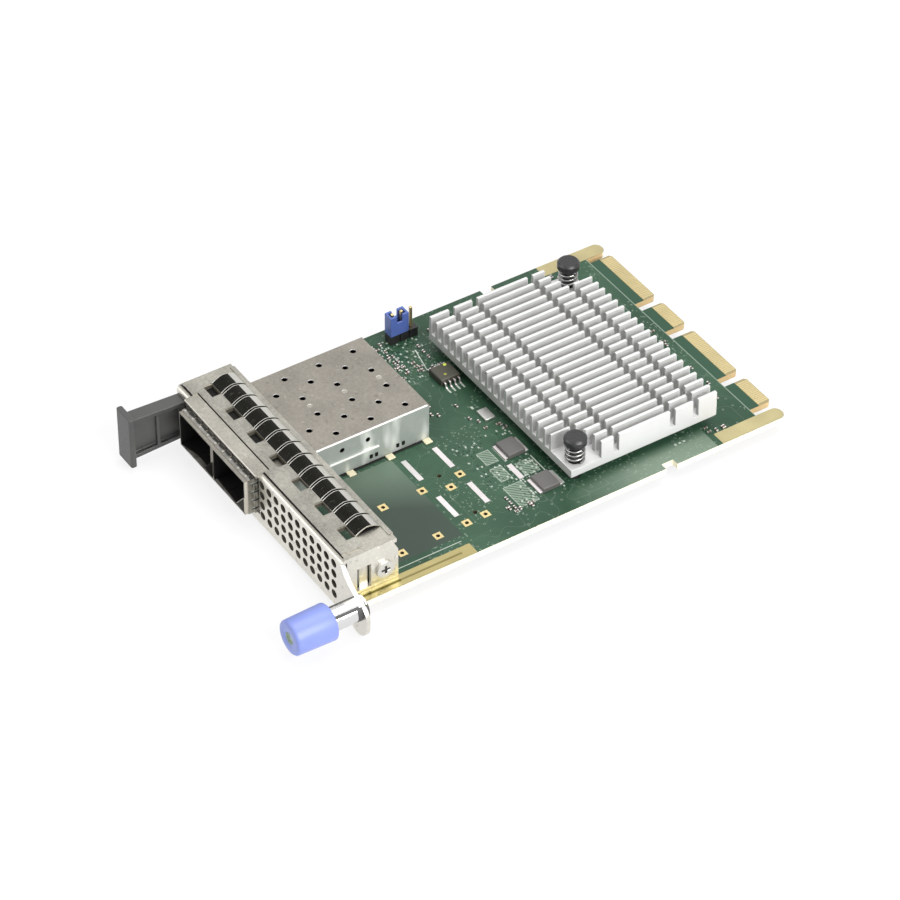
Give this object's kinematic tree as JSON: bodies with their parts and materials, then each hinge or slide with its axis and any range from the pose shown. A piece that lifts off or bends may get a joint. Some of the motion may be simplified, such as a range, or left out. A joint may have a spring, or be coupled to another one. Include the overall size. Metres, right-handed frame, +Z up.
{
  "type": "mezzanine network card",
  "caption": "Plug-in network card with edge contacts, transceiver cage, finned heatsink, vented faceplate, pull tab and captive thumbscrew.",
  "frame": {"origin": "middle of the board's front edge, on its top face", "axes": "+Y in the direction in which the card slides in, from the faceplate to the contact tongues; +X towards the thumbscrew; +Z up from the board's component side"},
  "size_m": [0.0837, 0.1357, 0.0173],
  "materials": {
    "board": "dark green solder mask, satin",
    "gold": "thin gold plating",
    "plate": "nickel plated sheet, satin",
    "gasket": "bright spring sheet",
    "cage": "plated sheet, bright satin",
    "black": "black moulding",
    "screw": "zinc plated",
    "nickel": "nickel plated, turned",
    "blue": "blue moulding",
    "blue_cap": "blue moulding",
    "spring": "bright spring wire",
    "sink": "bead blasted, bright",
    "package": "moulded package",
    "pad": "soft thermal pad",
    "tin": "tinned",
    "can": "bright metal can",
    "ceramic": "tan ceramic"
  },
  "bodies": {
    "card": {"circuit_board": "board", "edge_contacts": "gold", "guide_rails": "gold", "faceplate": "plate", "emi_gasket": "gasket", "transceiver_cage": "cage", "cage_divider": "cage", "cage_spring_band": "cage", "host_socket_left": "black", "host_socket_right": "black", "pull_tab": "black", "pull_tab_screw": "screw", "side_screw_left": "screw", "side_screw_right": "screw", "corner_block_left": "nickel", "corner_block_right": "nickel", "thumbscrew_barrel": "nickel", "thumbscrew_spring": "spring", "heatsink": "sink", "push_pin_front": "black", "push_pin_spring_front": "spring", "push_pin_rear": "black", "push_pin_spring_rear": "spring", "controller_chip": "package", "thermal_pad": "pad", "header_base": "black", "header_pins": "gold", "jumper_cap": "blue_cap", "memory_chip": "package", "memory_leads": "tin", "inductor_left": "package", "inductor_right": "package", "inductor_terminals": "tin", "oscillator": "can", "chip_parts": "ceramic", "chip_part_ends": "tin", "bar_pads": "tin", "square_pads": "gold"},
    "screw_slide": {"thumbscrew_ring": "nickel"},
    "screw": {"thumbscrew_knob": "blue", "thumbscrew_shank": "nickel"}
  },
  "joints": [
    {"name": "screw_push", "type": "slide", "parent": "card", "child": "screw_slide", "axis": [0, 1, 0], "range_m": [0, 0.0042], "stiffness_N_per_m": 200, "springref_m": -0.003, "deforming": ["thumbscrew_spring"]},
    {"name": "screw_turn", "type": "hinge", "parent": "screw_slide", "child": "screw", "pos_m": [0.0413, -0.0103, 0.0028], "axis": [0, 1, 0], "continuous": true}
  ]
}
